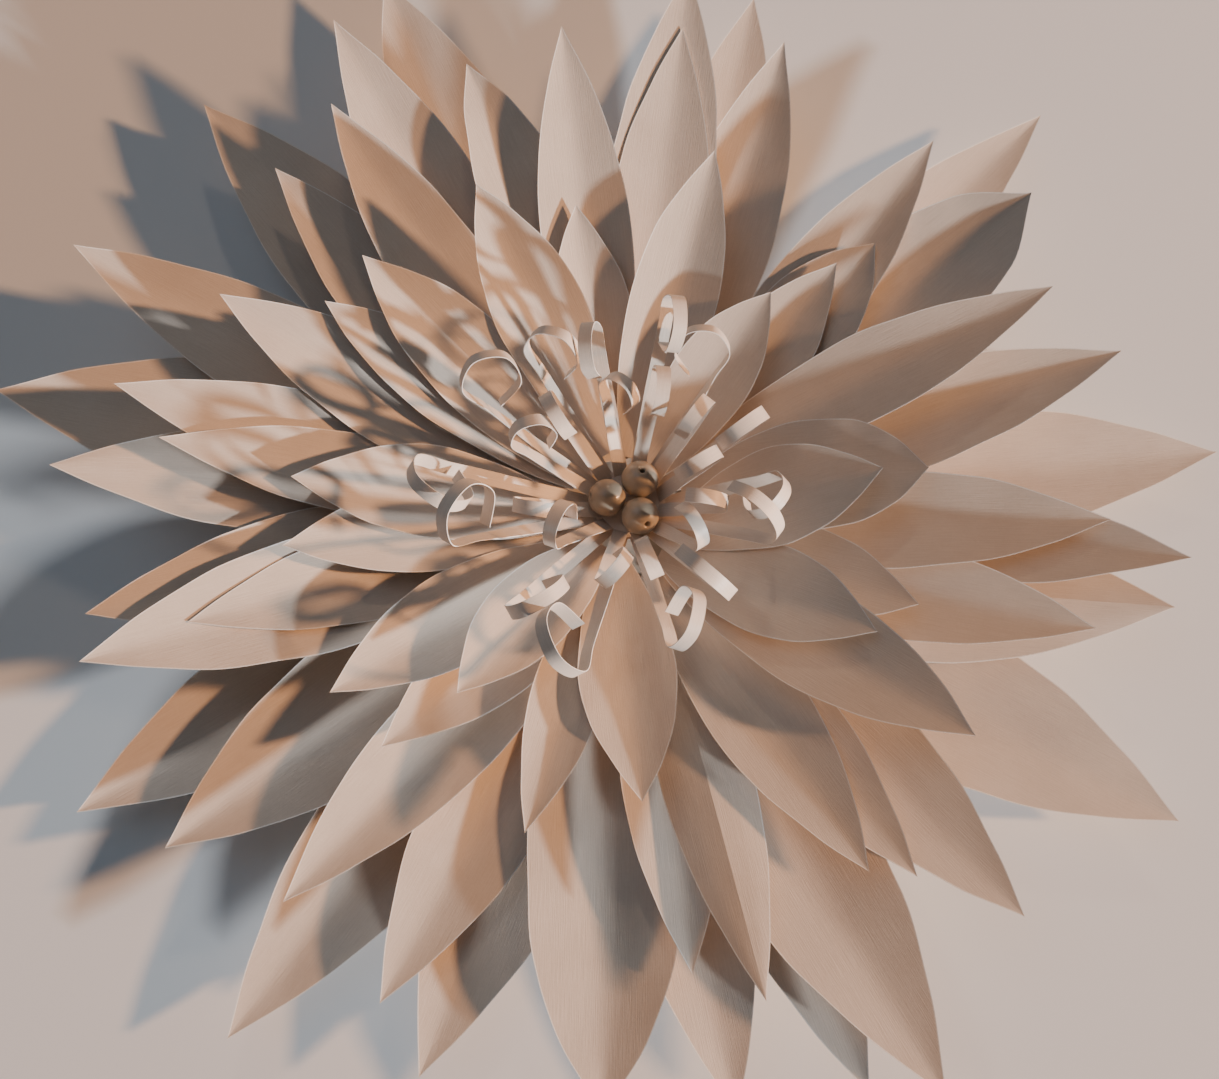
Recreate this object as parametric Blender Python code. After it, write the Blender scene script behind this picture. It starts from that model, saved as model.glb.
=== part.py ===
# Giant paper flower: creased card petals glued in rows on a backing disc,
# two discs of curled fringe strips and three beads in the middle.
# Metres, +Z up. The origin is the middle of the backing disc's underside.

import itertools
import math

import bmesh
import bpy
import numpy as np
from mathutils import Matrix, Vector
from mathutils.bvhtree import BVHTree

TABLE_UNIT = 0.001        # one unit of the lengths in the tables below, a millimetre
CARD = 0.00035            # petal card, measured straight up
CLEARANCE = 0.0003        # air between pieces that touch
GLUE_BITE = 0.0001        # how far a shared tab sinks into the tab that carries it

DISC_RADIUS = 0.050
DISC_THICKNESS = 0.0015
DISC_SIDES = 48

TAB_INNER_RADIUS = 0.011  # every tab ends this far from the middle
TAB_INNER_HALF_WIDTH = 0.0022
TAB_HALF_WIDTH = 0.0058
LEAST_TAB_LENGTH = 0.004
SHARED_TAB_SHARE = 0.62   # a shared tab's width against its carrier's
SHARED_ROOT_STEP = 0.003  # a shared petal bends up this much nearer the middle
BEND_LENGTH = 0.009       # the tab turns up into the petal over this length
WIDEST_AT = 0.52          # where a petal is widest, as a share of its length
OUTLINE_POWER = 1.8       # roundness of the cut outline
TROUGH_ROUND = 0.004      # rounding of the lengthwise crease
TROUGH_FADE = 0.35        # share of the length over which the crease opens
CURL_START = 0.55         # share of the length where a curled tip starts to lift
ARCH = 0.30               # how much steeper a petal leaves its root than it ends

# Row: radius of the bend, least slope in degrees, petal width. Lengths in table units.
ROWS = {
    1: (35, 4, 54),
    2: (32, 7, 52),
    3: (29, 10, 46),
    4: (26, 13, 42),
    5: (23, 18, 38),
    6: (20, 25, 34),
}

# Petals in the order in which they are glued on, the lowest first:
# number, row, azimuth of the tip, reach of the tip from the middle, swing of the petal off the
# radial line, upturn of the left and of the right half, rise of the curled tip, width off the row's.
# Angles in degrees, counter-clockwise from +X; lengths in table units.
PETALS = [
    (30, 1, 5.5, 243, -1, 9, 7, 0, 0),
    (23, 1, 44.5, 251, 0, 9, 8, 0, -8),
    (19, 1, 76.5, 240, 1, 8, 8, 0, -6),
    (20, 3, 71.5, 209, 0, 12, 16, 6, -2),
    (12, 1, 114.0, 265, 0, 9, 9, 0, 4),
    (1, 1, 135.5, 257, -3, 14, 8, 0, 2),
    (101, 3, 136.0, 206, -2, 12, 9, 0, -4),
    (3, 1, 170.5, 258, 1, 8, 10, 0, 8),
    (57, 1, 210.0, 248, 2, 10, 10, 0, 2),
    (54, 1, 234.0, 258, 0, 8, 9, 0, 2),
    (52, 1, 250.5, 236, -2, 8, 8, 0, 0),
    (48, 1, 279.5, 239, 2, 9, 9, 0, -4),
    (45, 1, 291.0, 244, 0, 8, 8, 0, -6),
    (40, 1, 329.0, 248, 2, 7, 7, 0, 8),
    (33, 2, 348.0, 219, 6, -10, -12, 0, 6),
    (32, 2, 352.0, 218, -2, 10, 8, 0, -10),
    (18, 2, 83.5, 231, -1, 9, 10, 0, -6),
    (17, 3, 83.5, 205, 0, 8, 11, 0, -4),
    (56, 2, 218.0, 225, 0, 13, 11, 0, 6),
    (11, 2, 121.0, 243, -2, 10, 9, 0, -6),
    (2, 2, 155.5, 249, -3, 9, 8, 0, -4),
    (4, 2, 178.5, 225, 2, 9, -16, 0, -2),
    (59, 2, 194.5, 213, 1, 12, 9, 0, -6),
    (58, 2, 199.5, 218, 0, 12, 13, 0, -4),
    (60, 4, 198.5, 177, -1, 12, 10, 0, -4),
    (53, 2, 244.5, 217, -2, 9, 10, 0, -4),
    (50, 2, 267.5, 235, 2, 10, 9, 0, 8),
    (44, 2, 296.5, 255, 3, 8, 9, 0, 8),
    (41, 2, 311.5, 220, 1, 9, 9, 0, -4),
    (29, 3, 16.0, 205, 0, 15, 16, 2, -4),
    (24, 3, 36.5, 202, -1, 13, 15, 12, 8),
    (10, 3, 126.5, 209, -3, 14, 9, 0, -6),
    (5, 3, 169.5, 204, -3, 9, 8, 0, -6),
    (6, 4, 175.0, 183, -2, 11, 9, 0, -8),
    (55, 3, 231.0, 205, -3, 11, 12, 0, -4),
    (65, 5, 227.5, 139, -2, 13, 12, 0, -2),
    (47, 3, 277.0, 187, -2, 10, 12, 0, -6),
    (46, 3, 284.0, 201, -3, -13, -13, 0, -10),
    (34, 3, 342.5, 188, 4, 12, 12, 0, -6),
    (31, 3, 355.5, 187, 2, 12, 12, 0, -6),
    (22, 4, 49.5, 193, 2, 10, 12, 0, -2),
    (25, 4, 46.0, 145, 1, 12, 13, 4, 0),
    (26, 5, 48.5, 128, -1, 14, 12, 3, 0),
    (13, 4, 110.0, 199, 4, 13, 15, -4, -4),
    (15, 4, 98.0, 200, -1, 11, 12, 0, -4),
    (16, 5, 100.0, 125, -2, 16, 16, 0, -4),
    (7, 4, 155.0, 179, -4, 11, 10, 0, -2),
    (42, 4, 305.0, 184, 2, 10, 12, 0, -4),
    (43, 4, 300.5, 173, 0, 12, 11, 0, -2),
    (37, 5, 337.0, 121, 3, 13, 12, 0, 0),
    (39, 4, 321.5, 162, 3, 12, 11, 0, 0),
    (38, 6, 327.0, 111, 2, 13, 12, 0, 4),
    (8, 5, 148.5, 142, 0, 12, 12, 0, -4),
    (9, 5, 139.0, 141, -3, 13, 11, 0, 0),
    (21, 5, 76.0, 146, -2, 16, 15, 0, -2),
    (14, 5, 116.5, 138, 1, 13, 12, 0, 0),
    (61, 5, 191.0, 136, 0, 12, 12, 0, -2),
    (62, 5, 179.5, 131, -2, 14, 13, 0, 0),
    (63, 5, 216.5, 140, -2, 13, 13, 0, 0),
    (51, 5, 254.0, 141, 0, 16, 15, 0, -10),
    (49, 5, 272.0, 124, 4, 12, 14, 0, 0),
    (28, 5, 25.0, 185, -2, 10, 9, 0, -2),
    (35, 5, 3.0, 117, -4, 12, 13, 0, 8),
    (36, 6, 2.5, 98, 8, 13, 13, 0, 6),
    (27, 6, 55.0, 100, -2, 14, 13, 0, 0),
    (64, 6, 232.5, 106, 0, 13, 13, 0, 0),
]
# Petals that are glued on the tab of the petal listed just before them and form one piece with it.
SHARED = (20, 101, 17, 60, 6, 65, 46, 26, 16, 43, 38, 9)
# Petals cut with a blunter end than the rest, and the power of their outline there.
BLUNT = {24: 3.6, 13: 2.6, 50: 2.6, 25: 2.8, 35: 2.6}

STATIONS = (0.0, None, 0.30, 0.50, 0.68, 0.86)   # shares of the length; None is the end of the bend
COLUMNS = (-1.0, -0.5, 0.0, 0.5, 1.0)

STRIP_THICKNESS = 0.00035
STRIP_WIDTH = 0.0058
HUB_BEYOND_BEAD = 0.005   # the upper hub's radius beyond a bead's
HUB_STEP = 0.0023         # the lower hub's radius beyond the upper hub's
STRIP_STEPS = 10
STRIP_STRAIGHT = 0.5      # share of a strip that runs straight before its curl
LOWER_RISE = 42.0
UPPER_RISE = 50.0
UPPER_TURN = 15.0
RISE_STEP = 3.0
STEEPEST = 88.0
FLATTEST = 10.0
STRIP_SPARE = 0.9         # share of the clearance that a strip's own test keeps
STRIP_TRIMS = (1.0, 0.9, 0.8, 0.7, 0.6, 0.5, 0.4, 0.3)   # shares of its length that a strip may be cut to
# Strips counter-clockwise from +X: length in table units, curl and twist in degrees.
LOWER_FRINGE = [
    (98, 300, 65), (94, 230, 15), (108, 300, -65), (124, 330, 20), (104, 280, -20), (112, 300, 40),
    (128, 330, 55), (148, 340, -55), (142, 330, 40), (130, 320, -30), (146, 320, 45), (130, 330, -35),
    (104, 210, 15), (102, 200, -15),
]
UPPER_FRINGE = [
    (76, 220, 20), (80, 230, 10), (84, 250, 15), (78, 280, 40), (86, 260, -20), (92, 300, 35),
    (88, 280, -30), (90, 290, 25), (84, 300, -30), (74, 260, 10), (68, 200, -15), (68, 180, 10),
]

BEAD_RADIUS = 0.0075
BEAD_HOLE_RADIUS = 0.0011
BEAD_AZIMUTHS = (180.0, 60.0, -60.0)
BEAD_TILTS = (70.0, 15.0, 50.0)      # how far each bead's hole leans from upright
BEAD_SEGMENTS = 12
BEAD_RINGS = 7
UPPER_HUB_RADIUS = BEAD_RADIUS + HUB_BEYOND_BEAD
LOWER_HUB_RADIUS = UPPER_HUB_RADIUS + HUB_STEP

PAPER = (0.72, 0.62, 0.54)
FRINGE_PAPER = (0.76, 0.67, 0.60)
BACKING = (0.62, 0.55, 0.48)
PEARL = (0.42, 0.34, 0.26)


def polar(radius, degrees, z=0.0):
    angle = math.radians(degrees)
    return Vector((radius * math.cos(angle), radius * math.sin(angle), z))


def material(name, colour, roughness, metallic=0.0):
    mat = bpy.data.materials.new(name)
    mat.use_nodes = True
    mat.diffuse_color = (*colour, 1.0)
    shader = mat.node_tree.nodes["Principled BSDF"]
    shader.inputs["Base Color"].default_value = (*colour, 1.0)
    shader.inputs["Roughness"].default_value = roughness
    shader.inputs["Metallic"].default_value = metallic
    return mat


def add_object(name, verts, faces, mat):
    mesh = bpy.data.meshes.new(name)
    mesh.from_pydata([tuple(v) for v in verts], [], faces)
    mesh.update()
    work = bmesh.new()
    work.from_mesh(mesh)
    bmesh.ops.recalc_face_normals(work, faces=work.faces)
    work.to_mesh(mesh)
    work.free()
    mesh.materials.append(mat)
    obj = bpy.data.objects.new(name, mesh)
    bpy.context.collection.objects.link(obj)
    return obj


class Petal:
    """One petal as a grid seen from above. Its heights are z0 + shape + slope * gain."""

    def __init__(self, row, azimuth, reach, swing, left, right, curl, extra, power, carrier=None):
        root_radius, slope_degrees, width = ROWS[row]
        self.slope = math.tan(math.radians(slope_degrees))
        root_radius = root_radius * TABLE_UNIT
        half = 0.5 * (width + extra) * TABLE_UNIT
        curl = curl * TABLE_UNIT
        tip = polar(reach * TABLE_UNIT, azimuth)
        tab_half, inner_half = TAB_HALF_WIDTH, TAB_INNER_HALF_WIDTH
        if carrier is None:
            heading = polar(1.0, azimuth + swing)
            along = tip.dot(heading)
            across = tip - heading * along
            start = math.sqrt(max(root_radius ** 2 - across.length_squared, 0.25 * root_radius ** 2))
            root = across + heading * start
            tab_heading = heading
        else:
            tab_half, inner_half = tab_half * SHARED_TAB_SHARE, inner_half * SHARED_TAB_SHARE
            tab_heading = carrier.tab_heading
            root = carrier.root - tab_heading * SHARED_ROOT_STEP
            heading = (tip - root).normalized()
        self.root, self.tab_heading, self.carrier = root, tab_heading, carrier
        length = (tip - root).length
        side = Vector((-heading.y, heading.x, 0.0))
        tab_side = Vector((-tab_heading.y, tab_heading.x, 0.0))
        tab_length = max(root.dot(tab_heading) - TAB_INNER_RADIUS, LEAST_TAB_LENGTH)
        tab_end = root - tab_heading * tab_length

        plan, shape, gain = [], [], []
        for u in COLUMNS:
            plan.append(tab_end + tab_side * (u * inner_half))
            shape.append(0.0)
            gain.append(0.0)
        for share in STATIONS:
            x = BEND_LENGTH if share is None else share * length
            t = x / length
            if t < WIDEST_AT:
                w = half - (half - tab_half) * ((WIDEST_AT - t) / WIDEST_AT) ** OUTLINE_POWER
            else:
                w = half - half * ((t - WIDEST_AT) / (1 - WIDEST_AT)) ** power
            if x <= BEND_LENGTH:
                rise = x * x / (2 * BEND_LENGTH)
            else:
                rise = x - 0.5 * BEND_LENGTH
            fade = min(1.0, t / TROUGH_FADE)
            fade = fade * fade * (3 - 2 * fade)
            lift = curl * max(0.0, (t - CURL_START) / (1 - CURL_START)) ** 2
            for u in COLUMNS:
                turn = left if u > 0 else right
                off = u * w
                cup = math.tan(math.radians(turn)) * (math.hypot(off, TROUGH_ROUND) - TROUGH_ROUND)
                plan.append(root + heading * x + side * off)
                shape.append(cup * fade + lift)
                gain.append(rise * (1 + ARCH * (1 - t)))
        plan.append(tip)
        shape.append(curl)
        gain.append(length - 0.5 * BEND_LENGTH)
        self.plan = np.array([p[:2] for p in plan])
        self.shape = np.array(shape)
        self.gain = np.array(gain)
        self.z0 = 0.0

    def top(self):
        return self.z0 + self.shape + self.slope * self.gain

    def bottom(self):
        return self.top() - CARD


def grid_faces(rows, columns):
    """Quads over the grid and the fan to the tip vertex, as index tuples."""
    faces = []
    for r in range(rows - 1):
        for c in range(columns - 1):
            a = r * columns + c
            faces.append((a, a + 1, a + columns + 1))
            faces.append((a, a + columns + 1, a + columns))
    last = (rows - 1) * columns
    for c in range(columns - 1):
        faces.append((last + c, last + c + 1, rows * columns))
    return faces


GRID_ROWS = len(STATIONS) + 1
TRIANGLES = grid_faces(GRID_ROWS, len(COLUMNS))
EDGES = sorted({tuple(sorted((t[i], t[(i + 1) % 3]))) for t in TRIANGLES for i in range(3)})


def heights_over(points, plan, values):
    """For each plan point, the triangle values met there: rows of values, nan outside."""
    tri = plan[np.array(TRIANGLES)]
    a, b, c = tri[:, 0], tri[:, 1], tri[:, 2]
    det = (b[:, 0] - a[:, 0]) * (c[:, 1] - a[:, 1]) - (c[:, 0] - a[:, 0]) * (b[:, 1] - a[:, 1])
    det = np.where(np.abs(det) < 1e-12, 1e-12, det)
    dx = points[:, None, 0] - a[None, :, 0]
    dy = points[:, None, 1] - a[None, :, 1]
    v = (dx * (c[:, 1] - a[:, 1]) - dy * (c[:, 0] - a[:, 0])) / det
    w = (dy * (b[:, 0] - a[:, 0]) - dx * (b[:, 1] - a[:, 1])) / det
    inside = (v > -1e-9) & (w > -1e-9) & (v + w < 1 + 1e-9)
    hit = inside.any(axis=1)
    pick = inside.argmax(axis=1)
    rows = np.arange(len(points))
    v, w = v[rows, pick], w[rows, pick]
    corner = np.array(TRIANGLES)[pick]
    out = []
    for value in values:
        met = value[corner[:, 0]] * (1 - v - w) + value[corner[:, 1]] * v + value[corner[:, 2]] * w
        out.append(met[hit])
    return hit, out


def contacts(new, old):
    """Where the new petal lies over an old one: old top, new shape and new gain at each place."""
    hit, (top,) = heights_over(new.plan, old.plan, [old.top()])
    parts = [(top, new.shape[hit], new.gain[hit])]
    hit, (shape, gain) = heights_over(old.plan, new.plan, [new.shape, new.gain])
    parts.append((old.top()[hit], shape, gain))
    edges = np.array(EDGES)
    p, q = new.plan[edges[:, 0]], new.plan[edges[:, 1]]
    r, s = old.plan[edges[:, 0]], old.plan[edges[:, 1]]
    pq, rs = q - p, s - r
    cross = pq[:, None, 0] * rs[None, :, 1] - pq[:, None, 1] * rs[None, :, 0]
    cross = np.where(np.abs(cross) < 1e-14, 1e-14, cross)
    dx = r[None, :, 0] - p[:, None, 0]
    dy = r[None, :, 1] - p[:, None, 1]
    f = (dx * rs[None, :, 1] - dy * rs[None, :, 0]) / cross
    g = (dx * pq[:, None, 1] - dy * pq[:, None, 0]) / cross
    i, j = np.nonzero((f >= 0) & (f <= 1) & (g >= 0) & (g <= 1))
    f, g = f[i, j], g[i, j]

    def mix(values, pair, share):
        return values[pair[:, 0]] * (1 - share) + values[pair[:, 1]] * share

    parts.append((mix(old.top(), edges[j], g), mix(new.shape, edges[i], f),
                  mix(new.gain, edges[i], f)))
    return [np.concatenate(column) for column in zip(*parts)]


def box_apart(new, old):
    return (new.plan.max(0) < old.plan.min(0)).any() or (old.plan.max(0) < new.plan.min(0)).any()


def place_petals():
    """Glues the petals on in order: each lies on what is under its tab and clears what it crosses."""
    placed = {}
    for number, row, azimuth, reach, swing, left, right, curl, extra in PETALS:
        carrier = list(placed.values())[-1] if number in SHARED else None
        petal = Petal(row, azimuth, reach, swing, left, right, curl, extra,
                      BLUNT.get(number, OUTLINE_POWER), carrier)
        seat = DISC_THICKNESS + CLEARANCE + CARD
        met = []
        for old in placed.values():
            if box_apart(petal, old):
                continue
            top, shape, gain = contacts(petal, old)
            if old is carrier:
                beyond = gain >= BEND_LENGTH
                top, shape, gain = top[beyond], shape[beyond], gain[beyond]
            if len(top):
                met.append((top + CLEARANCE + CARD - shape, gain))
        if met:
            need = np.concatenate([m[0] for m in met])
            gain = np.concatenate([m[1] for m in met])
            near = gain < BEND_LENGTH
            if near.any():
                seat = max(seat, float((need - petal.slope * gain)[near].max()))
            if carrier is not None:
                seat = carrier.z0 + CARD - GLUE_BITE
            far = ~near
            if far.any():
                petal.slope = max(petal.slope, float(((need[far] - seat) / gain[far]).max()))
        petal.z0 = seat
        placed[number] = petal
    return placed


def highest_within(petals, radius):
    """Top of the glued petals over the disc's middle, out to a radius."""
    turns = np.radians(np.arange(0.0, 360.0, 2.5))
    ring = radius * np.stack([np.cos(turns), np.sin(turns)], axis=1)
    heights = [DISC_THICKNESS]
    for petal in petals.values():
        heights += petal.top()[np.hypot(*petal.plan.T) < radius].tolist()
        heights += heights_over(ring, petal.plan, [petal.top()])[1][0].tolist()
    return max(heights)


def petal_solid(name, petal, mat):
    count = len(petal.plan)
    verts = [(x, y, z) for (x, y), z in zip(petal.plan, petal.top())]
    verts += [(x, y, z) for (x, y), z in zip(petal.plan, petal.bottom())]
    faces = list(TRIANGLES)
    faces += [tuple(i + count for i in reversed(t)) for t in TRIANGLES]
    columns = len(COLUMNS)
    rim = list(range(columns))
    rim += [r * columns + columns - 1 for r in range(1, GRID_ROWS)]
    rim += [count - 1]
    rim += [r * columns for r in range(GRID_ROWS - 1, 0, -1)]
    for a, b in zip(rim, rim[1:] + rim[:1]):
        faces.append((b, a, a + count, b + count))
    return add_object(name, verts, faces, mat)


def join_tabs(obj, operand):
    """Makes two petals that share a tab one body."""
    union = obj.modifiers.new("shared_tab", "BOOLEAN")
    union.operation = "UNION"
    union.solver = "EXACT"
    union.object = operand
    operand.hide_render = True
    operand.display_type = "WIRE"


def backing_disc(mat):
    work = bmesh.new()
    bmesh.ops.create_cone(work, cap_ends=True, segments=DISC_SIDES, radius1=DISC_RADIUS,
                          radius2=DISC_RADIUS, depth=DISC_THICKNESS,
                          matrix=Matrix.Translation((0, 0, DISC_THICKNESS / 2)))
    mesh = bpy.data.meshes.new("backing_disc")
    work.to_mesh(mesh)
    work.free()
    mesh.materials.append(mat)
    obj = bpy.data.objects.new("backing_disc", mesh)
    bpy.context.collection.objects.link(obj)


def strip_sections(azimuth, edge, rise, length, curl, twist, base_z, spare=0.0):
    """Corner loops along one curled strip, from the hub's edge outward, grown by spare all round."""
    half, high = STRIP_WIDTH / 2 + spare, STRIP_THICKNESS + spare
    out, side, up = polar(1.0, azimuth), polar(1.0, azimuth + 90), Vector((0, 0, 1))
    tilt = math.radians(rise)
    along = out * math.cos(tilt) + up * math.sin(tilt)
    point = out * edge + up * base_z
    piece = length * TABLE_UNIT / STRIP_STEPS
    straight = round(STRIP_STEPS * STRIP_STRAIGHT)
    sections = []
    for step in range(STRIP_STEPS + 1):
        sections.append([point - side * half + up * high, point + side * half + up * high,
                         point + side * half - up * spare, point - side * half - up * spare])
        point = point + along * piece
        if step < straight:
            side = Matrix.Rotation(math.radians(twist) / straight, 3, along) @ side
        else:
            turn = math.radians(curl) / (STRIP_STEPS - straight)
            along = Matrix.Rotation(-turn, 3, side) @ along
        up = along.cross(side).normalized()
    return sections


def tree_of(obj):
    mesh = obj.data
    return BVHTree.FromPolygons([v.co for v in mesh.vertices], [tuple(f.vertices) for f in mesh.polygons])


def loop_faces(loops):
    """Faces that join corner loops of four, with a cap on the last. Top and underside fold alike."""
    faces = []
    for a, b in zip(loops, loops[1:]):
        for i in range(4):
            j = (i + 1) % 4
            if i == 2:
                faces += [(a[i], a[j], b[i]), (a[j], b[j], b[i])]
            else:
                faces += [(a[i], a[j], b[j]), (a[i], b[j], b[i])]
    faces.append(tuple(loops[-1]))
    return faces


def strip_tree(sections):
    verts = [v for section in sections for v in section]
    loops = [range(4 * k, 4 * k + 4) for k in range(len(sections))]
    return BVHTree.FromPolygons(verts, loop_faces(loops) + [tuple(loops[0])])


def strip_roots(table, hub_radius, turn):
    """Azimuth and hub edge of each strip with its length, curl and twist."""
    count = len(table)
    half = STRIP_WIDTH / 2
    edge = max(math.sqrt(hub_radius ** 2 - half ** 2), (half + CLEARANCE) / math.tan(math.pi / count))
    return [(turn + 360.0 * k / count, edge, *strip) for k, strip in enumerate(table)]


def stalk_trees(table, hub_radius, rise, turn, hub_z):
    """The straight lower parts of the strips, as room that other strips leave free."""
    stalk = round(STRIP_STEPS * STRIP_STRAIGHT) + 1
    return [strip_tree(strip_sections(azimuth, edge, rise, length, curl, twist, hub_z, CLEARANCE)[:stalk])
            for azimuth, edge, length, curl, twist in strip_roots(table, hub_radius, turn)]


def fringe(name, table, hub_radius, rise, turn, hub_z, obstacles, kept_free, mat):
    """A hub with one curled strip on each edge. A strip rises, or is trimmed, so that it clears the rest."""
    verts, faces, ring = [], [], []
    for azimuth, edge, length, curl, twist in strip_roots(table, hub_radius, turn):
        steeper = np.arange(rise, STEEPEST, RISE_STEP)
        flatter = np.arange(rise - RISE_STEP, FLATTEST, -RISE_STEP)
        for trim, angle in itertools.product(STRIP_TRIMS, [*steeper, *flatter]):
            shape = (azimuth, edge, angle, length * trim, curl, twist, hub_z)
            tree = strip_tree(strip_sections(*shape, STRIP_SPARE * CLEARANCE))
            if not any(tree.overlap(other) for other in obstacles + kept_free):
                break
        sections = strip_sections(*shape)
        obstacles.append(strip_tree(sections))
        first = len(verts)
        verts += [corner for section in sections for corner in section]
        loops = [range(first + 4 * i, first + 4 * i + 4) for i in range(len(sections))]
        faces += loop_faces(loops)
        ring.append(loops[0])
    faces.append(tuple(corner for loop in ring for corner in loop[:2]))
    faces.append(tuple(corner for loop in reversed(ring) for corner in loop[2:]))
    for here, there in zip(ring, ring[1:] + ring[:1]):
        faces.append((here[1], here[2], there[3], there[0]))
    add_object(name, verts, faces, mat)


def bead(name, centre, tilt, azimuth, mat):
    """A ball with a straight hole, turned from its own half profile."""
    start = math.asin(BEAD_HOLE_RADIUS / BEAD_RADIUS)
    profile = []
    for i in range(BEAD_RINGS + 1):
        angle = start + (math.pi - 2 * start) * i / BEAD_RINGS
        profile.append((BEAD_RADIUS * math.sin(angle), BEAD_RADIUS * math.cos(angle)))
    lean = Matrix.Rotation(math.radians(azimuth), 3, "Z") @ Matrix.Rotation(math.radians(tilt), 3, "Y")
    verts, faces = [], []
    for k in range(BEAD_SEGMENTS):
        angle = 2 * math.pi * k / BEAD_SEGMENTS
        for r, z in profile:
            verts.append(centre + lean @ Vector((r * math.cos(angle), r * math.sin(angle), z)))
    n = len(profile)
    for k in range(BEAD_SEGMENTS):
        here, there = k * n, (k + 1) % BEAD_SEGMENTS * n
        for i in range(n):
            j = (i + 1) % n
            faces.append((here + i, here + j, there + j, there + i))
    obj = add_object(name, verts, faces, mat)
    obj.data.shade_smooth()
    return obj


def main():
    for obj in list(bpy.data.objects):
        bpy.data.objects.remove(obj, do_unlink=True)
    backing_disc(material("backing_card", BACKING, 0.85))
    paper = material("petal_card", PAPER, 0.72)
    petals = place_petals()
    carrier = None
    obstacles = []
    for number, petal in petals.items():
        obj = petal_solid(f"petal_{number:03d}", petal, paper)
        if number in SHARED:
            join_tabs(carrier, obj)
        else:
            carrier = obj
        obstacles.append(tree_of(obj))

    lower_z = highest_within(petals, LOWER_HUB_RADIUS + CLEARANCE) + CLEARANCE
    upper_z = lower_z + STRIP_THICKNESS + CLEARANCE
    pearl = material("bead_pearl", PEARL, 0.25, 0.3)
    spacing = (BEAD_RADIUS + CLEARANCE / 2) / math.sin(math.pi / len(BEAD_AZIMUTHS))
    bead_z = upper_z + STRIP_THICKNESS + CLEARANCE + BEAD_RADIUS
    for k, (azimuth, tilt) in enumerate(zip(BEAD_AZIMUTHS, BEAD_TILTS), 1):
        ball = bead(f"bead_{k}", polar(spacing, azimuth, bead_z), tilt, azimuth, pearl)
        obstacles.append(tree_of(ball))
    strip_paper = material("fringe_paper", FRINGE_PAPER, 0.6)
    upper = (UPPER_FRINGE, UPPER_HUB_RADIUS, UPPER_RISE, UPPER_TURN, upper_z)
    fringe("curled_fringe_lower", LOWER_FRINGE, LOWER_HUB_RADIUS, LOWER_RISE, 0.0, lower_z,
           obstacles, stalk_trees(*upper), strip_paper)
    fringe("curled_fringe_upper", *upper, obstacles, [], strip_paper)


main()
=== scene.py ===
import math

import bmesh
import bpy
import numpy as np
from mathutils import Matrix, Vector, noise


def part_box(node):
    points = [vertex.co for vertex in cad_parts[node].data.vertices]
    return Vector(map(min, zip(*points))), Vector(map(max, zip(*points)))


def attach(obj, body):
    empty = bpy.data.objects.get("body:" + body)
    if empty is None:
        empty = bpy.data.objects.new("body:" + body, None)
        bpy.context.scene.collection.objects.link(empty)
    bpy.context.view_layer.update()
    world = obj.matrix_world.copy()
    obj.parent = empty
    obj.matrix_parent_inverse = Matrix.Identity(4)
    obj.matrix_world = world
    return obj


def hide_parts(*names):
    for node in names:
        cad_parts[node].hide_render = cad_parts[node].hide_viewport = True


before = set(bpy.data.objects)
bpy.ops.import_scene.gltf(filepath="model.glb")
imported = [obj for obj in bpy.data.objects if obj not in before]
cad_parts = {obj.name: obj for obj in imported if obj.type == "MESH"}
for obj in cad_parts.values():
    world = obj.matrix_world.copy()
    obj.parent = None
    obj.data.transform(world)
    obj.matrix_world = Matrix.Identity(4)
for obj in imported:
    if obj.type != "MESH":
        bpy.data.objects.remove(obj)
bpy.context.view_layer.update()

# The photograph's frame and the camera that took it: nearly overhead, leaning back a little.
PHOTO_WIDTH, PHOTO_HEIGHT = 1219, 1079
FOCAL_PX = 1750.0
CAMERA_TILT = 15.0
CAMERA_DISTANCE = 0.70
BEADS_PX = (629.0, 497.0)
BEADS_HEIGHT = 0.030

SOLID_COLUMNS = 5             # corners across a petal solid
UPWARD = 0.4                  # least upward slant of a face on a petal's upper side
SAME_ROW = 3e-5               # how far corners of one row may lie apart along the petal
LEAST_SHEET_POINTS = 20
PAPER = 0.00028
FINE_ROWS = 44
FINE_COLUMNS = 14
ROWS_TOWARDS_TIP = 1.25       # above 1 the rows close up towards the tip
EDGE_HIGHLIGHT_BAND = 0.00042           # width of the band of painted highlight along a cut edge
WIDEST_HIGHLIGHT_BAND = 0.4             # the most of a half width that the painted highlight band takes, near the tip
BUCKLE = 0.0004               # how far the sheet waves up and down
BUCKLE_ALONG, BUCKLE_ACROSS = 22.0, 34.0
BUCKLE_MIDDLE = 0.35          # share of the waves left along the middle of the sheet
HAND_CUT = 0.0007             # how far the cut outline wanders
HAND_CUT_ALONG, HAND_CUT_SIDES = 38.0, 9.0
FREE_FROM = 0.45              # share of the length over which waves and wander grow from nothing
TIP_TAPER = 0.12              # share of the length over which they fade at the tip
PETAL_SEED, SHEET_SEED, CUT_SEED = 3.7, 11.3, 5.0
SHARP_EDGE = 50.0             # degrees between faces from which an edge is shaded sharp
UV_SCALE = 10.0

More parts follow.
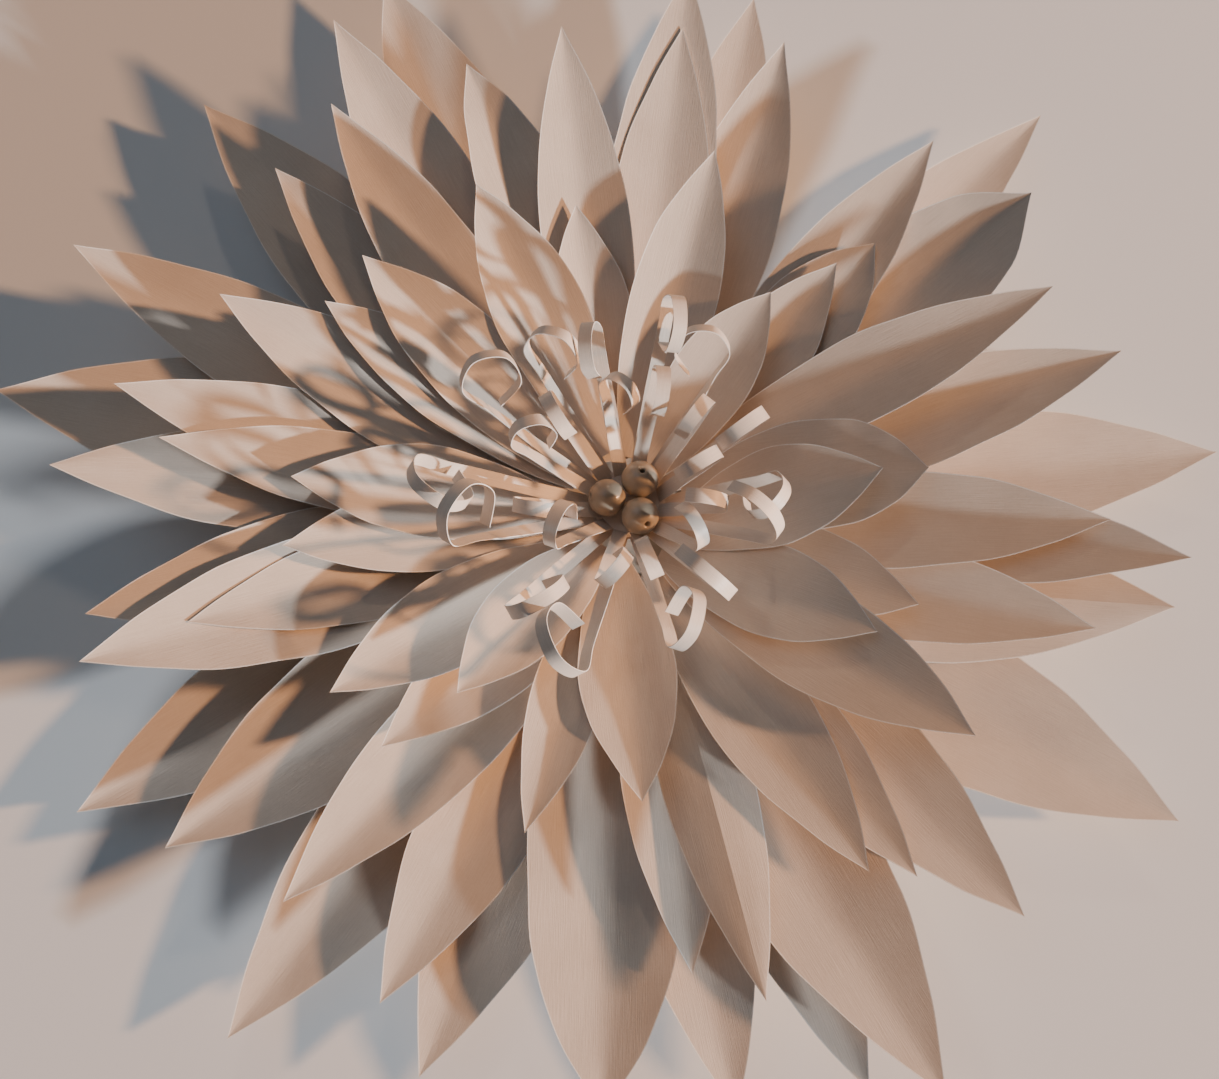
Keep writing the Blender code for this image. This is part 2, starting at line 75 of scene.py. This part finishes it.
STRIP_WIDTH = 0.0058
STRIP_THICKNESS = 0.00030
CAD_STRIP_THICKNESS = 0.00035
STRIP_STEPS = 10
STRIP_STRAIGHT = 0.5
STRIP_FINE = 7                # fine steps for each of the solid's
STRIP_NARROWING = 0.06
STRIP_WANDER, STRIP_WANDER_PACE = 0.03, 1.7
STRIP_UV_GAP, STRIP_UV_PACE = 0.7, 0.1
NEARBY = 0.05                 # how far ahead and back a strip's heading is read, in steps
CLEARANCE = 0.0003
MILLIMETRE = 0.001
RISE_STEP = 3.0
STEEPEST = 88.0
STRIP_TRIMS = (1.0, 0.9, 0.8, 0.7, 0.6, 0.5, 0.4, 0.3)
LOWER_HUB_RADIUS, UPPER_HUB_RADIUS = 0.0148, 0.0125
LOWER_RISE, UPPER_RISE = 42.0, 50.0
UPPER_TURN = 15.0
# Strips counter-clockwise from +X: length in millimetres, curl and twist in degrees.
LOWER_FRINGE = [
    (98, 300, 65), (94, 230, 15), (108, 300, -65), (124, 330, 20), (104, 280, -20), (112, 300, 40),
    (128, 330, 55), (148, 340, -55), (142, 330, 40), (130, 320, -30), (146, 320, 45), (130, 330, -35),
    (104, 210, 15), (102, 200, -15),
]
UPPER_FRINGE = [
    (76, 220, 20), (80, 230, 10), (84, 250, 15), (78, 280, 40), (86, 260, -20), (92, 300, 35),
    (88, 280, -30), (90, 290, 25), (84, 300, -30), (74, 260, 10), (68, 200, -15), (68, 180, 10),
]

BEAD_RADIUS = 0.0075
BEAD_RINGS = 34
BEAD_SEGMENTS = 56
BEAD_HOLE_RADIUS = 0.0011
BEAD_BORE = 0.92              # the bore inside the hole's mouth, as a share of the mouth
BEAD_BORE_RINGS = (-0.6, 0.0, 0.6)
BEAD_LIP = 0.00012            # how far the rounded mouth swells
BEAD_FLAT = 0.05              # how much the ball flattens at the mouth
BEAD_FLAT_FADE = 1.1
BEAD_AZIMUTHS = (180.0, 60.0, -60.0)
BEAD_TILTS = (70.0, 15.0, 50.0)

DISC_RIM = 0.0003
DISC_SEGMENTS = 160

FLOOR_REACH = 40.0
FLOOR_DROP = 0.0002
LIGHTS_AIM = 0.03             # height that the lights point at
# Each light: azimuth and elevation in degrees, distance, diameter, watts, colour.
LIGHTS = {
    "warm_key": (-4.0, 22.5, 10.0, 0.60, 1420.0, (1.0, 0.50, 0.23)),
    "white_key": (-33.0, 12.0, 10.0, 0.33, 1650.0, (0.97, 0.98, 1.0)),
    "top_light": (84.0, 34.0, 10.0, 0.83, 72.0, (1.0, 0.78, 0.60)),
    "cool_fill": (140.0, 58.0, 5.4, 4.5, 26.0, (0.67, 0.82, 1.0)),
}


def polar(radius, degrees, z=0.0):
    angle = math.radians(degrees)
    return Vector((radius * math.cos(angle), radius * math.sin(angle), z))


# Materials

def new_material(name):
    mat = bpy.data.materials.new(name)
    mat.use_nodes = True
    nodes, links = mat.node_tree.nodes, mat.node_tree.links
    return mat, nodes, links, nodes["Principled BSDF"]


def noise_node(nodes, links, vector, scale, detail=4.0, rough=0.55):
    tex = nodes.new("ShaderNodeTexNoise")
    tex.inputs["Scale"].default_value = scale
    tex.inputs["Detail"].default_value = detail
    tex.inputs["Roughness"].default_value = rough
    links.new(vector, tex.inputs["Vector"])
    return tex.outputs["Fac"]


def ramp(nodes, links, fac, stops):
    node = nodes.new("ShaderNodeValToRGB")
    node.color_ramp.elements[0].position, node.color_ramp.elements[0].color = stops[0]
    node.color_ramp.elements[1].position, node.color_ramp.elements[1].color = stops[-1]
    for position, colour in stops[1:-1]:
        node.color_ramp.elements.new(position).color = colour
    links.new(fac, node.inputs["Fac"])
    return node.outputs["Color"]


def blend(nodes, links, fac, a, b, mode="MIX"):
    node = nodes.new("ShaderNodeMix")
    node.data_type = "RGBA"
    node.blend_type = mode
    for socket, value in ((node.inputs["Factor"], fac), (node.inputs["A"], a), (node.inputs["B"], b)):
        if hasattr(value, "links"):
            links.new(value, socket)
        else:
            socket.default_value = value
    return node.outputs["Result"]


def scaled(nodes, links, vector, scale):
    node = nodes.new("ShaderNodeMapping")
    node.inputs["Scale"].default_value = scale
    links.new(vector, node.inputs["Vector"])
    return node.outputs["Vector"]


def bump(nodes, links, height, strength, distance, normal=None):
    node = nodes.new("ShaderNodeBump")
    node.inputs["Strength"].default_value = strength
    node.inputs["Distance"].default_value = distance
    links.new(height, node.inputs["Height"])
    if normal is not None:
        links.new(normal, node.inputs["Normal"])
    return node.outputs["Normal"]


def paper_material(name, light, dark, roughness):
    """Uncoated card: clouded tone, flecks of fibre, and fine streaks along the curled sheet."""
    mat, nodes, links, shader = new_material(name)
    coords = nodes.new("ShaderNodeTexCoord")
    space, sheet = coords.outputs["Object"], coords.outputs["UV"]
    cloud = noise_node(nodes, links, space, 26.0, 5.0)
    tone = ramp(nodes, links, cloud, [(0.30, (*dark, 1)), (0.70, (*light, 1))])
    along = scaled(nodes, links, sheet, (90.0, 2.5, 1.0))
    streak = noise_node(nodes, links, along, 3.0, 4.0, 0.6)
    streak_tone = ramp(nodes, links, streak, [(0.35, (0.93, 0.92, 0.91, 1)), (0.62, (1, 1, 1, 1))])
    tone = blend(nodes, links, 1.0, tone, streak_tone, "MULTIPLY")
    fibre = noise_node(nodes, links, space, 900.0, 3.0, 0.7)
    fleck = ramp(nodes, links, fibre, [(0.30, (0.95, 0.945, 0.94, 1)), (0.60, (1, 1, 1, 1))])
    tone = blend(nodes, links, 0.7, tone, fleck, "MULTIPLY")
    links.new(tone, shader.inputs["Base Color"])
    shader.inputs["Roughness"].default_value = roughness
    shader.inputs["Specular IOR Level"].default_value = 0.32
    shader.inputs["Sheen Weight"].default_value = 0.12
    shader.inputs["Sheen Roughness"].default_value = 0.6
    ridge = bump(nodes, links, streak, 0.25, 0.0004)
    links.new(bump(nodes, links, fibre, 0.22, 0.00012, ridge), shader.inputs["Normal"])
    return mat


def edge_highlight_material():
    """The scissor-cut edge, rougher than the sheet's face and painted lighter as a highlight where
    edges catch light.
    """
    mat, nodes, links, shader = new_material("cut_edge_painted_highlight")
    coords = nodes.new("ShaderNodeTexCoord")
    fuzz = noise_node(nodes, links, coords.outputs["Object"], 1400.0, 2.0)
    tone = ramp(nodes, links, fuzz, [(0.3, (0.80, 0.75, 0.70, 1)), (0.7, (0.92, 0.88, 0.84, 1))])
    links.new(tone, shader.inputs["Base Color"])
    shader.inputs["Roughness"].default_value = 0.9
    return mat


def card_material():
    """Grey-beige backing board with pressed fibres."""
    mat, nodes, links, shader = new_material("backing_card")
    coords = nodes.new("ShaderNodeTexCoord")
    space = coords.outputs["Object"]
    fibre = noise_node(nodes, links, scaled(nodes, links, space, (1.0, 2.2, 1.0)), 420.0, 6.0, 0.7)
    cloud = noise_node(nodes, links, space, 40.0, 4.0)
    tone = ramp(nodes, links, cloud, [(0.3, (0.50, 0.43, 0.36, 1)), (0.7, (0.60, 0.53, 0.45, 1))])
    fleck = ramp(nodes, links, fibre, [(0.35, (0.86, 0.85, 0.83, 1)), (0.6, (1, 1, 1, 1))])
    links.new(blend(nodes, links, 0.8, tone, fleck, "MULTIPLY"), shader.inputs["Base Color"])
    shader.inputs["Roughness"].default_value = 0.88
    links.new(bump(nodes, links, fibre, 0.3, 0.0002), shader.inputs["Normal"])
    return mat


def pearl_material():
    """Pearl coat: a soft bronze body, a painted nacre sheen that turns it lighter where the ball is
    seen edge-on, and a clear gloss.
    """
    mat, nodes, links, shader = new_material("bead_pearl")
    coords = nodes.new("ShaderNodeTexCoord")
    cloud = noise_node(nodes, links, coords.outputs["Object"], 210.0, 4.0)
    tone = ramp(nodes, links, cloud, [(0.3, (0.27, 0.215, 0.155, 1)), (0.7, (0.35, 0.285, 0.21, 1))])
    # Painted sheen: the colour lightens towards the ball's outline as seen.
    painted_sheen_facing = nodes.new("ShaderNodeLayerWeight")
    painted_sheen_facing.inputs["Blend"].default_value = 0.35
    tone = blend(nodes, links, painted_sheen_facing.outputs["Facing"], tone, (0.44, 0.37, 0.29, 1))
    links.new(tone, shader.inputs["Base Color"])
    shader.inputs["Metallic"].default_value = 0.05
    shader.inputs["Roughness"].default_value = 0.36
    shader.inputs["Coat Weight"].default_value = 0.5
    shader.inputs["Coat Roughness"].default_value = 0.12
    links.new(bump(nodes, links, cloud, 0.08, 0.0002), shader.inputs["Normal"])
    return mat


PETAL_PAPER = paper_material("petal_paper", (0.75, 0.650, 0.560), (0.67, 0.570, 0.485), 0.62)
FRINGE_PAPER = paper_material("fringe_paper", (0.78, 0.685, 0.60), (0.69, 0.595, 0.515), 0.40)
# The cut-edge material is painted lighter, as a highlight where edges catch light.
CUT_EDGE_HIGHLIGHT = edge_highlight_material()
CARD = card_material()
PEARL = pearl_material()


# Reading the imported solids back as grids

def welded(node):
    work = bmesh.new()
    work.from_mesh(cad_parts[node].data)
    bmesh.ops.remove_doubles(work, verts=work.verts, dist=1e-6)
    work.normal_update()
    work.verts.index_update()
    work.faces.index_update()
    return work


def top_sheets(node):
    """The upward faces of a petal solid, as one point set for each petal in it."""
    work = welded(node)
    left = {f.index: f for f in work.faces if f.normal.z > UPWARD}
    sheets = []
    while left:
        stack, points = [left.pop(min(left))], {}
        while stack:
            face = stack.pop()
            for vert in face.verts:
                points[vert.index] = vert.co.copy()
            for edge in face.edges:
                for other in edge.link_faces:
                    if other.index in left:
                        stack.append(left.pop(other.index))
        sheets.append(np.array([points[i] for i in sorted(points)]))
    work.free()
    return [s for s in sheets if len(s) > LEAST_SHEET_POINTS]


def petal_grid(points):
    """The tip, its heading, and the sheet's rows: distance from the tip, places across, heights."""
    plan = points[:, :2]
    tip = points[np.hypot(*plan.T).argmax()]
    near = np.argsort(np.hypot(*(plan - tip[:2]).T))[1:SOLID_COLUMNS + 1]
    middle = plan[near].mean(axis=0)
    heading = (tip[:2] - middle) / np.linalg.norm(tip[:2] - middle)
    for _ in range(2):
        side = np.array([-heading[1], heading[0]])
        last = sorted(near, key=lambda i: (plan[i] - tip[:2]) @ side)
        middle = plan[last[SOLID_COLUMNS // 2]]
        heading = (tip[:2] - middle) / np.linalg.norm(tip[:2] - middle)
    side = np.array([-heading[1], heading[0]])
    back = (tip[:2] - plan) @ heading
    across = (plan - tip[:2]) @ side
    order = np.argsort(back)
    rows, row = [], [order[0]]
    for i in order[1:]:
        if back[i] - back[row[0]] < SAME_ROW:
            row.append(i)
        else:
            rows.append(row)
            row = [i]
    rows.append(row)
    grid = []
    for row in rows:
        if len(row) == SOLID_COLUMNS:
            row = sorted(row, key=lambda i: across[i])
            grid.append((back[row].mean(), across[row], points[row, 2]))
    grid.sort(key=lambda g: -g[0])
    return tip, heading, side, grid


def hermite_slopes(x, y):
    """Slopes that keep a cubic through the points from overshooting."""
    h = np.diff(x)[:, None]
    d = np.diff(y, axis=0) / h
    m = np.zeros_like(y)
    same = d[:-1] * d[1:] > 0
    w1, w2 = 2 * h[1:] + h[:-1], h[1:] + 2 * h[:-1]
    with np.errstate(divide="ignore", invalid="ignore"):
        mean = (w1 + w2) / (w1 / d[:-1] + w2 / d[1:])
    m[1:-1] = np.where(same, mean, 0.0)
    m[0], m[-1] = d[0], d[-1]
    return m


def smooth_through(x, y, new, slopes=None):
    """Cubic through the rows of y at x, read at the new places."""
    m = hermite_slopes(x, y) if slopes is None else slopes
    k = np.clip(np.searchsorted(x, new, side="right") - 1, 0, len(x) - 2)
    h = (x[k + 1] - x[k])[:, None]
    t = ((new - x[k])[:, None]) / h
    t2, t3 = t * t, t * t * t
    return ((2 * t3 - 3 * t2 + 1) * y[k] + (t3 - 2 * t2 + t) * h * m[k]
            + (-2 * t3 + 3 * t2) * y[k + 1] + (t3 - t2) * h * m[k + 1])


def across_columns(values, fine, creased):
    """Spreads the solid's columns over the fine ones: straight halves at a crease, else one curve."""
    u = np.linspace(-1.0, 1.0, SOLID_COLUMNS)
    y = values.T
    m = np.gradient(y, u, axis=0)
    if not creased:
        return smooth_through(u, y, fine, m).T
    left_m, right_m = m.copy(), m.copy()
    mid = SOLID_COLUMNS // 2
    left_m[mid] = (y[mid] - y[mid - 1]) / (u[mid] - u[mid - 1])
    right_m[mid] = (y[mid + 1] - y[mid]) / (u[mid + 1] - u[mid])
    left = smooth_through(u, y, fine, left_m)
    right = smooth_through(u, y, fine, right_m)
    return np.where((fine < 0)[:, None], left, right).T


def petal_piece(node):
    """A petal node as fine curved sheets with cut edges. One with a half folded down is creased."""
    number = int(node.split("_")[1])
    verts, faces, rims, highlight_bands, creases, uvs = [], [], set(), set(), set(), []
    for sheet_number, points in enumerate(top_sheets(node)):
        tip, heading, side, grid = petal_grid(points)
        back = np.array([g[0] for g in grid] + [0.0])
        across = np.array([g[1] for g in grid] + [np.zeros(SOLID_COLUMNS)])
        height = np.array([g[2] for g in grid] + [np.full(SOLID_COLUMNS, tip[2])])
        x = back[0] - back
        reach = x[-1]
        share = np.linspace(0.0, 1.0, FINE_ROWS + 1)
        new = reach * (1 - (1 - share) ** ROWS_TOWARDS_TIP)
        middle = height[len(height) // 2]
        creased = min(middle[0], middle[-1]) < middle[SOLID_COLUMNS // 2]
        row_across = smooth_through(x, across, new)
        row_height = smooth_through(x, height, new)
        wide, high, spread = [], [], []
        for one_across, one_height in zip(row_across, row_height):
            half = max(0.5 * (one_across[-1] - one_across[0]), 1e-6)
            # the outer columns leave a narrow band for the painted edge highlight
            inner = 1.0 - min(WIDEST_HIGHLIGHT_BAND, EDGE_HIGHLIGHT_BAND / half)
            fine_u = np.concatenate([[-1.0], np.linspace(-inner, inner, FINE_COLUMNS - 1), [1.0]])
            wide.append(across_columns(one_across[None], fine_u, creased)[0])
            high.append(across_columns(one_height[None], fine_u, creased)[0])
            spread.append(fine_u)
        wide, high = np.array(wide), np.array(high)
        start = len(verts)
        seed = number * PETAL_SEED + sheet_number * SHEET_SEED
        for r in range(FINE_ROWS + 1):
            free = min(1.0, new[r] / (FREE_FROM * reach))
            taper = min(1.0, (reach - new[r]) / (TIP_TAPER * reach))
            for c in range(FINE_COLUMNS + 1):
                u = spread[r][c]
                wave = noise.noise(Vector((new[r] * BUCKLE_ALONG, wide[r, c] * BUCKLE_ACROSS, seed)))
                wobble = noise.noise(Vector((new[r] * HAND_CUT_ALONG, np.sign(u) * HAND_CUT_SIDES,
                                             seed + CUT_SEED)))
                sideways = wide[r, c] + HAND_CUT * wobble * u ** 2 * free * taper
                spot = tip[:2] - heading * (reach - new[r]) + side * sideways
                edgewise = BUCKLE_MIDDLE + (1 - BUCKLE_MIDDLE) * abs(u)
                z = high[r, c] + BUCKLE * wave * free * taper * edgewise
                verts.append((spot[0], spot[1], z))
                uvs.append((wide[r, c] * UV_SCALE + seed, new[r] * UV_SCALE))
        count = (FINE_ROWS + 1) * (FINE_COLUMNS + 1)
        for i in range(start, start + count):
            vx, vy, vz = verts[i]
            verts.append((vx, vy, vz - PAPER))
            uvs.append(uvs[i])
        wide_count = FINE_COLUMNS + 1
        for r in range(FINE_ROWS):
            for c in range(FINE_COLUMNS):
                a = start + r * wide_count + c
                quad = (a, a + 1, a + wide_count + 1, a + wide_count)
                # the outermost quads of each row take the painted edge highlight
                if c in (0, FINE_COLUMNS - 1):
                    highlight_bands.add(len(faces))
                faces.append(quad[::-1])
                faces.append(tuple(i + count for i in quad))
            if creased:
                ridge = start + r * wide_count + FINE_COLUMNS // 2
                creases |= {(ridge, ridge + wide_count), (ridge + count, ridge + wide_count + count)}
        rim = [start + c for c in range(wide_count)]
        rim += [start + r * wide_count + FINE_COLUMNS for r in range(1, FINE_ROWS + 1)]
        rim += [start + FINE_ROWS * wide_count + c for c in range(FINE_COLUMNS - 1, -1, -1)]
        rim += [start + r * wide_count for r in range(FINE_ROWS - 1, 0, -1)]
        for a, b in zip(rim, rim[1:] + rim[:1]):
            rims.add(len(faces))
            faces.append((a, b, b + count, a + count))
    return sheet_object(f"{node}_paper", verts, faces, rims, highlight_bands, creases, uvs, PETAL_PAPER)


def sheet_object(name, verts, faces, rims, highlight_bands, creases, uvs, mat):
    """A paper object. Rim faces are flat and, with the band faces, take the cut-edge material, painted
    lighter as a highlight along the edges.
    """
    mesh = bpy.data.meshes.new(name)
    mesh.from_pydata(verts, [], faces)
    mesh.materials.append(mat)
    mesh.materials.append(CUT_EDGE_HIGHLIGHT)
    layer = mesh.uv_layers.new(name="UVMap")
    corner = np.empty(len(mesh.loops), dtype=np.int32)
    mesh.loops.foreach_get("vertex_index", corner)
    layer.data.foreach_set("uv", np.array(uvs, dtype=np.float32)[corner].ravel())
    for i, poly in enumerate(mesh.polygons):
        poly.use_smooth = i not in rims
        # rim faces and the bands beside them take the lighter material: a painted edge highlight
        poly.material_index = 1 if i in rims or i in highlight_bands else 0
    for edge in mesh.edges:
        if edge.key in creases:
            edge.use_edge_sharp = True
    mesh.validate()
    work = bmesh.new()
    work.from_mesh(mesh)
    bmesh.ops.remove_doubles(work, verts=work.verts, dist=1e-7)
    bmesh.ops.recalc_face_normals(work, faces=work.faces)
    for edge in work.edges:
        if len(edge.link_faces) == 2 and edge.calc_face_angle(0) > math.radians(SHARP_EDGE):
            edge.smooth = False
    work.to_mesh(mesh)
    work.free()
    obj = bpy.data.objects.new(name, mesh)
    bpy.context.scene.collection.objects.link(obj)
    return obj


# Curled fringe

def strip_frames(azimuth, edge, rise, length, curl, twist, base_z):
    """Points and side directions along one curled strip, as the solid has them."""
    out, side = polar(1.0, azimuth), polar(1.0, azimuth + 90)
    tilt = math.radians(rise)
    along = out * math.cos(tilt) + Vector((0, 0, math.sin(tilt)))
    point = out * edge + Vector((0, 0, base_z))
    frames = [(point.copy(), side.copy(), Vector((0, 0, 1)))]
    piece = length * MILLIMETRE / STRIP_STEPS
    straight = round(STRIP_STEPS * STRIP_STRAIGHT)
    for step in range(STRIP_STEPS):
        point = point + along * piece
        if step < straight:
            side = Matrix.Rotation(math.radians(twist) / straight, 3, along) @ side
        else:
            turn = math.radians(curl) / (STRIP_STEPS - straight)
            along = Matrix.Rotation(-turn, 3, side) @ along
        frames.append((point.copy(), side.copy(), along.cross(side).normalized()))
    return frames


def met_frames(azimuth, edge, rise, strip, base_z, solid):
    """The strip at the angle at which its far end meets the solid's."""
    best = None
    length, curl, twist = strip
    for trim in STRIP_TRIMS:
        for angle in np.arange(rise % RISE_STEP + 3 * RISE_STEP, STEEPEST, RISE_STEP):
            frames = strip_frames(azimuth, edge, angle, length * trim, curl, twist, base_z)
            point, side, up = frames[-1]
            corner = np.array(point + side * (STRIP_WIDTH / 2))
            gap = np.linalg.norm(solid - corner, axis=1).min()
            if best is None or gap < best[0]:
                best = (gap, frames)
    return best[1]


def curve_value(values, t):
    """Smooth curve through equally spaced vectors."""
    k = min(int(t), len(values) - 2)
    f = t - k
    p0 = values[max(k - 1, 0)]
    p1, p2 = values[k], values[k + 1]
    p3 = values[min(k + 2, len(values) - 1)]
    return 0.5 * ((2 * p1) + (p2 - p0) * f + (2 * p0 - 5 * p1 + 4 * p2 - p3) * f * f
                  + (3 * p1 - p0 - 3 * p2 + p3) * f ** 3)


def fringe_piece(node, table, hub_radius, rise, turn):
    """A fringe node as a hub with fine curled strips that follow the solid's."""
    low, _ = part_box(node)
    solid = np.array([v.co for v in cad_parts[node].data.vertices])
    count = len(table)
    half = STRIP_WIDTH / 2
    edge = max(math.sqrt(hub_radius ** 2 - half ** 2), (half + CLEARANCE) / math.tan(math.pi / count))
    verts, faces, rims, uvs, ring = [], [], set(), [], []
    for k, strip in enumerate(table):
        azimuth = turn + 360.0 * k / count
        frames = met_frames(azimuth, edge, rise, strip, low.z, solid)
        points, sides, ups = zip(*frames)
        total = (len(frames) - 1) * STRIP_FINE
        previous = None
        for i in range(total + 1):
            t = i / STRIP_FINE
            point = curve_value(points, t)
            side = curve_value(sides, t).normalized()
            ahead = curve_value(points, min(t + NEARBY, len(frames) - 1.0))
            ahead = ahead - curve_value(points, max(t - NEARBY, 0.0))
            up = ahead.cross(side).normalized() if i else Vector((0, 0, 1))
            wander = STRIP_WANDER * math.sin(t * STRIP_WANDER_PACE + k)
            width = half * (1 - STRIP_NARROWING * t / len(frames)) * (1 + wander)
            first = len(verts)
            lift = up * (CAD_STRIP_THICKNESS - STRIP_THICKNESS) * 0.5
            top = up * STRIP_THICKNESS
            left, right = point - side * width + lift, point + side * width + lift
            verts += [tuple(left + top), tuple(right + top), tuple(right), tuple(left)]
            u, v = k * STRIP_UV_GAP, t * STRIP_UV_PACE
            far_u = u + STRIP_WIDTH * UV_SCALE
            uvs += [(u, v), (far_u, v), (far_u, v), (u, v)]
            if previous is None:
                ring.append(first)
            else:
                for j in range(4):
                    n = (j + 1) % 4
                    # the strip's cut sides take the lighter material: a painted edge highlight
                    if j in (1, 3):
                        rims.add(len(faces))
                    faces.append((previous + j, previous + n, first + n, first + j))
            previous = first
        # the strip's end takes the painted edge highlight too
        rims.add(len(faces))
        faces.append(tuple(previous + j for j in range(4)))
    faces.append(tuple(i for first in ring for i in (first, first + 1)))
    faces.append(tuple(i for first in reversed(ring) for i in (first + 2, first + 3)))
    for here, there in zip(ring, ring[1:] + ring[:1]):
        faces.append((here + 1, here + 2, there + 3, there))
    return sheet_object(f"{node}_paper", verts, faces, rims, set(), set(), uvs, FRINGE_PAPER)


# Beads and backing

def bead_piece(node, azimuth, tilt):
    """A fine ball with a rounded threading hole."""
    low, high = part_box(node)
    centre = (low + high) / 2
    start = math.asin(BEAD_HOLE_RADIUS / BEAD_RADIUS)
    profile = []
    for i in range(BEAD_RINGS + 1):
        angle = start + (math.pi - 2 * start) * i / BEAD_RINGS
        from_mouth = min(i, BEAD_RINGS - i)
        radius = BEAD_RADIUS * (1 - BEAD_FLAT * math.exp(-from_mouth * BEAD_FLAT_FADE))
        profile.append((radius * math.sin(angle) + BEAD_LIP * math.exp(-from_mouth),
                        radius * math.cos(angle)))
    for z in BEAD_BORE_RINGS:
        profile.append((BEAD_HOLE_RADIUS * BEAD_BORE, z * BEAD_RADIUS))
    lean = Matrix.Rotation(math.radians(azimuth), 3, "Z") @ Matrix.Rotation(math.radians(tilt), 3, "Y")
    verts, faces = [], []
    for k in range(BEAD_SEGMENTS):
        angle = 2 * math.pi * k / BEAD_SEGMENTS
        for r, z in profile:
            verts.append(centre + lean @ Vector((r * math.cos(angle), r * math.sin(angle), z)))
    n = len(profile)
    for k in range(BEAD_SEGMENTS):
        here, there = k * n, (k + 1) % BEAD_SEGMENTS * n
        for i in range(n):
            j = (i + 1) % n
            faces.append((here + i, here + j, there + j, there + i))
    mesh = bpy.data.meshes.new(f"{node}_pearl")
    mesh.from_pydata([tuple(v) for v in verts], [], faces)
    work = bmesh.new()
    work.from_mesh(mesh)
    bmesh.ops.recalc_face_normals(work, faces=work.faces)
    work.to_mesh(mesh)
    work.free()
    mesh.shade_smooth()
    mesh.materials.append(PEARL)
    obj = bpy.data.objects.new(mesh.name, mesh)
    bpy.context.scene.collection.objects.link(obj)
    return obj


def backing_piece():
    """The backing disc, cut round, with a slightly pressed rim."""
    low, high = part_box("backing_disc")
    radius = high.x
    flat = radius - DISC_RIM
    profile = [(0.0, low.z), (flat, low.z), (radius, low.z + DISC_RIM), (radius, high.z - DISC_RIM),
               (flat, high.z), (0.0, high.z)]
    work = bmesh.new()
    chain = [work.verts.new((r, 0, z)) for r, z in profile]
    edges = [work.edges.new(pair) for pair in zip(chain, chain[1:])]
    bmesh.ops.spin(work, geom=chain + edges, cent=(0, 0, 0), axis=(0, 0, 1), angle=2 * math.pi,
                   steps=DISC_SEGMENTS, use_duplicate=False)
    bmesh.ops.remove_doubles(work, verts=work.verts, dist=1e-6)
    bmesh.ops.recalc_face_normals(work, faces=work.faces)
    mesh = bpy.data.meshes.new("backing_disc_card")
    work.to_mesh(mesh)
    work.free()
    mesh.materials.append(CARD)
    obj = bpy.data.objects.new("backing_disc_card", mesh)
    bpy.context.scene.collection.objects.link(obj)
    return obj


def add_piece(obj, node):
    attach(obj, "root")
    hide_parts(node)


# Camera, floor and lights

def make_camera():
    tilt = math.radians(CAMERA_TILT)
    back = Vector((0, -math.sin(tilt), math.cos(tilt)))
    right = Vector((1, 0, 0))
    up = back.cross(right)
    off_right = (BEADS_PX[0] - PHOTO_WIDTH / 2) / FOCAL_PX * CAMERA_DISTANCE
    off_up = -(BEADS_PX[1] - PHOTO_HEIGHT / 2) / FOCAL_PX * CAMERA_DISTANCE
    data = bpy.data.cameras.new("camera")
    data.sensor_width = 36.0
    data.lens = 36.0 * FOCAL_PX / PHOTO_WIDTH
    data.clip_start = 0.01
    cam = bpy.data.objects.new("camera", data)
    bpy.context.scene.collection.objects.link(cam)
    cam.location = (Vector((0, 0, BEADS_HEIGHT)) + back * CAMERA_DISTANCE
                    - right * off_right - up * off_up)
    cam.rotation_euler = (tilt, 0, 0)
    bpy.context.scene.camera = cam


def area_light(name, azimuth, elevation, distance, size, watts, colour):
    data = bpy.data.lights.new(name, "AREA")
    data.shape = "DISK"
    data.size = size
    data.energy = watts
    data.color = colour
    lamp = bpy.data.objects.new(name, data)
    bpy.context.scene.collection.objects.link(lamp)
    flat = distance * math.cos(math.radians(elevation))
    lamp.location = polar(flat, azimuth, distance * math.sin(math.radians(elevation)))
    aim = Vector((0, 0, LIGHTS_AIM)) - lamp.location
    lamp.rotation_euler = aim.to_track_quat("-Z", "Y").to_euler()


def make_floor():
    mesh = bpy.data.meshes.new("floor")
    corners = ((-1, -1), (1, -1), (1, 1), (-1, 1))
    mesh.from_pydata([(x * FLOOR_REACH, y * FLOOR_REACH, -FLOOR_DROP) for x, y in corners], [],
                     [(0, 1, 2, 3)])
    mat, _, _, shader = new_material("pale_floor")
    shader.inputs["Base Color"].default_value = (0.78, 0.81, 0.84, 1)
    shader.inputs["Roughness"].default_value = 0.8
    mesh.materials.append(mat)
    floor = bpy.data.objects.new("floor", mesh)
    bpy.context.scene.collection.objects.link(floor)


def make_light():
    for name, light in LIGHTS.items():
        area_light(name, *light)
    world = bpy.data.worlds.new("studio")
    bpy.context.scene.world = world
    world.use_nodes = True
    world.node_tree.nodes["Background"].inputs["Color"].default_value = (0.86, 0.92, 1.0, 1)
    world.node_tree.nodes["Background"].inputs["Strength"].default_value = 0.08


def main():
    make_camera()
    make_floor()
    make_light()
    for node in sorted(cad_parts):
        if node.startswith("petal_"):
            add_piece(petal_piece(node), node)
    lower = fringe_piece("curled_fringe_lower", LOWER_FRINGE, LOWER_HUB_RADIUS, LOWER_RISE, 0.0)
    add_piece(lower, "curled_fringe_lower")
    upper = fringe_piece("curled_fringe_upper", UPPER_FRINGE, UPPER_HUB_RADIUS, UPPER_RISE, UPPER_TURN)
    add_piece(upper, "curled_fringe_upper")
    for k, (azimuth, tilt) in enumerate(zip(BEAD_AZIMUTHS, BEAD_TILTS), 1):
        add_piece(bead_piece(f"bead_{k}", azimuth, tilt), f"bead_{k}")
    add_piece(backing_piece(), "backing_disc")


main()
